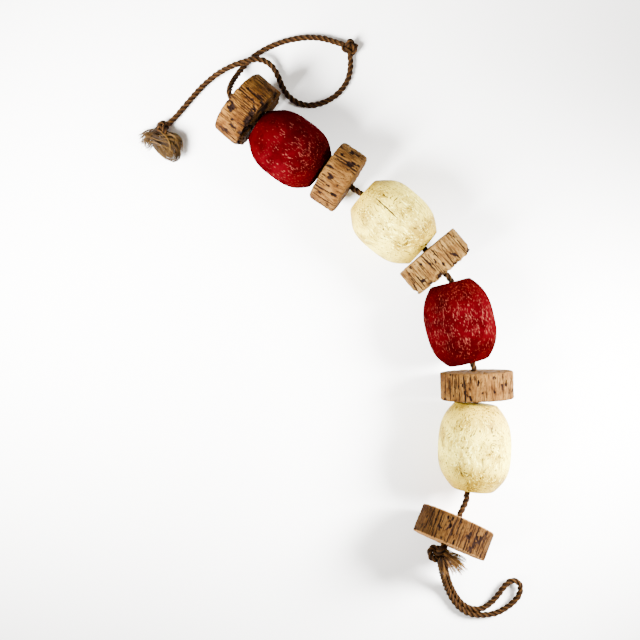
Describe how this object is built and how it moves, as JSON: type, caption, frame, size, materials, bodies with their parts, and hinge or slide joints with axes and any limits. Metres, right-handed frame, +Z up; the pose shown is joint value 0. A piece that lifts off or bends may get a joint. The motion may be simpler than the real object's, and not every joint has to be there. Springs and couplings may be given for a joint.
{
  "type": "string of fishing net floats",
  "caption": "Cork discs and painted wooden barrel floats threaded alternately on one laid rope, with a knotted tie line at one end and a hanging loop at the other.",
  "frame": {"origin": "middle of the footprint of the threaded floats, on the surface that they lie on", "axes": "+Y along the string's long way towards the tie line, +X to its right, +Z up off the surface"},
  "size_m": [0.4081, 0.6268, 0.0819],
  "materials": {
    "cork": "bare cork, fissured and pitted, dry and matte",
    "red_paint": "deep red paint on turned wood, worn through in pale scratches, satin",
    "cream_paint": "cream paint on turned wood, brushed and speckled with ochre, satin",
    "rope": "dark brown three-strand laid rope, hairy",
    "frayed_fibre": "loose golden-brown fibre"
  },
  "bodies": {
    "rope_stretch_1": {"rope_core_1": "rope"},
    "rope_stretch_2": {"rope_core_2": "rope"},
    "rope_stretch_3": {"rope_core_3": "rope"},
    "rope_stretch_4": {"rope_core_4": "rope"},
    "rope_stretch_5": {"rope_core_5": "rope"},
    "rope_stretch_6": {"rope_core_6": "rope"},
    "rope_stretch_7": {"rope_core_7": "rope"},
    "rope_stretch_8": {"rope_core_8": "rope"},
    "rope_stretch_9": {"rope_core_9": "rope", "stopper_knot": "rope", "stopper_fray_1": "frayed_fibre", "stopper_fray_2": "frayed_fibre"},
    "rope_bend_1": {"rope_bend_1": "rope"},
    "rope_bend_2": {"rope_bend_2": "rope"},
    "rope_bend_3": {"rope_bend_3": "rope"},
    "rope_bend_4": {"rope_bend_4": "rope"},
    "rope_bend_5": {"rope_bend_5": "rope"},
    "rope_bend_6": {"rope_bend_6": "rope"},
    "rope_bend_7": {"rope_bend_7": "rope"},
    "rope_bend_8": {"rope_bend_8": "rope"},
    "cork_float_1": {"cork_float_1": "cork"},
    "red_float_1": {"red_float_1": "red_paint"},
    "cork_float_2": {"cork_float_2": "cork"},
    "cream_float_1": {"cream_float_1": "cream_paint"},
    "cork_float_3": {"cork_float_3": "cork"},
    "red_float_2": {"red_float_2": "red_paint"},
    "cork_float_4": {"cork_float_4": "cork"},
    "cream_float_2": {"cream_float_2": "cream_paint"},
    "cork_float_5": {"cork_float_5": "cork"},
    "tie_line": {"tie_cord_1": "rope", "tie_knot_1": "rope", "tie_cord_2": "rope", "tie_knot_2": "rope", "tie_fray": "frayed_fibre"},
    "hanging_loop": {"loop_cord": "rope"}
  },
  "joints": [
    {"name": "rope_bend_1_sideways", "type": "hinge", "parent": "rope_stretch_2", "child": "rope_bend_1", "pos_m": [-0.10763, 0.2116, 0.0365], "axis": [0, 0, 1], "range_deg": [-0.6, 10.2]},
    {"name": "rope_bend_1_lift", "type": "hinge", "parent": "rope_bend_1", "child": "rope_stretch_1", "pos_m": [-0.10763, 0.2116, 0.0365], "axis": [0.6534, 0.757, 0], "range_deg": [-2.4, 2.4]},
    {"name": "rope_bend_2_sideways", "type": "hinge", "parent": "rope_stretch_3", "child": "rope_bend_2", "pos_m": [-0.04153, 0.16358, 0.0365], "axis": [0, 0, 1], "range_deg": [-3.7, 8.5]},
    {"name": "rope_bend_2_lift", "type": "hinge", "parent": "rope_bend_2", "child": "rope_stretch_2", "pos_m": [-0.04153, 0.16358, 0.0365], "axis": [0.5878, 0.809, 0], "range_deg": [-2.8, 2.8]},
    {"name": "rope_bend_3_sideways", "type": "hinge", "parent": "rope_stretch_4", "child": "rope_bend_3", "pos_m": [-0.0038, 0.13851, 0.0365], "axis": [0, 0, 1], "range_deg": [-34.5, 19.5]},
    {"name": "rope_bend_3_lift", "type": "hinge", "parent": "rope_bend_3", "child": "rope_stretch_3", "pos_m": [-0.0038, 0.13851, 0.0365], "axis": [0.5534, 0.8329, 0], "range_deg": [-12.9, 12.9]},
    {"name": "rope_bend_4_sideways", "type": "hinge", "parent": "rope_stretch_5", "child": "rope_bend_4", "pos_m": [0.06289, 0.08034, 0.0365], "axis": [0, 0, 1], "range_deg": [-16.7, 0.1]},
    {"name": "rope_bend_4_lift", "type": "hinge", "parent": "rope_bend_4", "child": "rope_stretch_4", "pos_m": [0.06289, 0.08034, 0.0365], "axis": [0.6574, 0.7536, 0], "range_deg": [-3.8, 3.8]},
    {"name": "rope_bend_5_sideways", "type": "hinge", "parent": "rope_stretch_5", "child": "rope_bend_5", "pos_m": [0.0897, 0.04905, 0.0365], "axis": [0, 0, 1], "range_deg": [-1, 53]},
    {"name": "rope_bend_5_lift", "type": "hinge", "parent": "rope_bend_5", "child": "rope_stretch_6", "pos_m": [0.0897, 0.04905, 0.0365], "axis": [0.9677, 0.2521, 0], "range_deg": [-12.9, 12.9]},
    {"name": "rope_bend_6_sideways", "type": "hinge", "parent": "rope_stretch_6", "child": "rope_bend_6", "pos_m": [0.11367, -0.04298, 0.0365], "axis": [0, 0, 1], "range_deg": [-9.1, 34.1]},
    {"name": "rope_bend_6_lift", "type": "hinge", "parent": "rope_bend_6", "child": "rope_stretch_7", "pos_m": [0.11367, -0.04298, 0.0365], "axis": [0.9993, 0.0366, 0], "range_deg": [-10.1, 10.1]},
    {"name": "rope_bend_7_sideways", "type": "hinge", "parent": "rope_stretch_7", "child": "rope_bend_7", "pos_m": [0.11492, -0.07705, 0.0365], "axis": [0, 0, 1], "range_deg": [-1.3, 16.1]},
    {"name": "rope_bend_7_lift", "type": "hinge", "parent": "rope_bend_7", "child": "rope_stretch_8", "pos_m": [0.11492, -0.07705, 0.0365], "axis": [0.9957, -0.0924, 0], "range_deg": [-4, 4]},
    {"name": "rope_bend_8_sideways", "type": "hinge", "parent": "rope_stretch_8", "child": "rope_bend_8", "pos_m": [0.10545, -0.17921, 0.0365], "axis": [0, 0, 1], "range_deg": [-9, 47]},
    {"name": "rope_bend_8_lift", "type": "hinge", "parent": "rope_bend_8", "child": "rope_stretch_9", "pos_m": [0.10545, -0.17921, 0.0365], "axis": [0.9114, -0.4115, 0], "range_deg": [-5.5, 30.5]},
    {"name": "cork_float_1_turn", "type": "hinge", "parent": "rope_stretch_1", "child": "cork_float_1", "pos_m": [-0.1205, 0.22271, 0.0365], "axis": [0.757, -0.6534, 0], "continuous": true},
    {"name": "red_float_1_turn", "type": "hinge", "parent": "rope_stretch_2", "child": "red_float_1", "pos_m": [-0.07462, 0.18762, 0.0365], "axis": [0.809, -0.5878, 0], "continuous": true},
    {"name": "cork_float_2_turn", "type": "hinge", "parent": "rope_stretch_3", "child": "cork_float_2", "pos_m": [-0.0272, 0.15406, 0.0365], "axis": [0.8329, -0.5534, 0], "continuous": true},
    {"name": "cream_float_1_turn", "type": "hinge", "parent": "rope_stretch_4", "child": "cream_float_1", "pos_m": [0.02989, 0.10913, 0.0365], "axis": [0.7536, -0.6574, 0], "continuous": true},
    {"name": "cork_float_3_turn", "type": "hinge", "parent": "rope_stretch_5", "child": "cork_float_3", "pos_m": [0.07363, 0.06781, 0.0365], "axis": [0.6508, -0.7593, 0], "continuous": true},
    {"name": "red_float_2_turn", "type": "hinge", "parent": "rope_stretch_6", "child": "red_float_2", "pos_m": [0.10096, 0.00585, 0.0365], "axis": [0.2521, -0.9677, 0], "continuous": true},
    {"name": "cork_float_4_turn", "type": "hinge", "parent": "rope_stretch_7", "child": "cork_float_4", "pos_m": [0.11428, -0.05956, 0.0365], "axis": [0.0366, -0.9993, 0], "continuous": true},
    {"name": "cream_float_2_turn", "type": "hinge", "parent": "rope_stretch_8", "child": "cream_float_2", "pos_m": [0.11072, -0.12236, 0.0365], "axis": [-0.0924, -0.9957, 0], "continuous": true},
    {"name": "cork_float_5_turn", "type": "hinge", "parent": "rope_stretch_9", "child": "cork_float_5", "pos_m": [0.09175, -0.20956, 0.04388], "axis": [-0.4018, -0.8898, 0.2164], "continuous": true},
    {"name": "tie_line_swing", "type": "hinge", "parent": "rope_stretch_1", "child": "tie_line", "pos_m": [-0.1345, 0.2348, 0.0365], "axis": [0, 0, 1], "range_deg": [-8, 15]},
    {"name": "loop_swing", "type": "hinge", "parent": "rope_stretch_9", "child": "hanging_loop", "pos_m": [0.07802, -0.23024, 0.04931], "axis": [0, 0, 1], "range_deg": [-15, 15]}
  ]
}
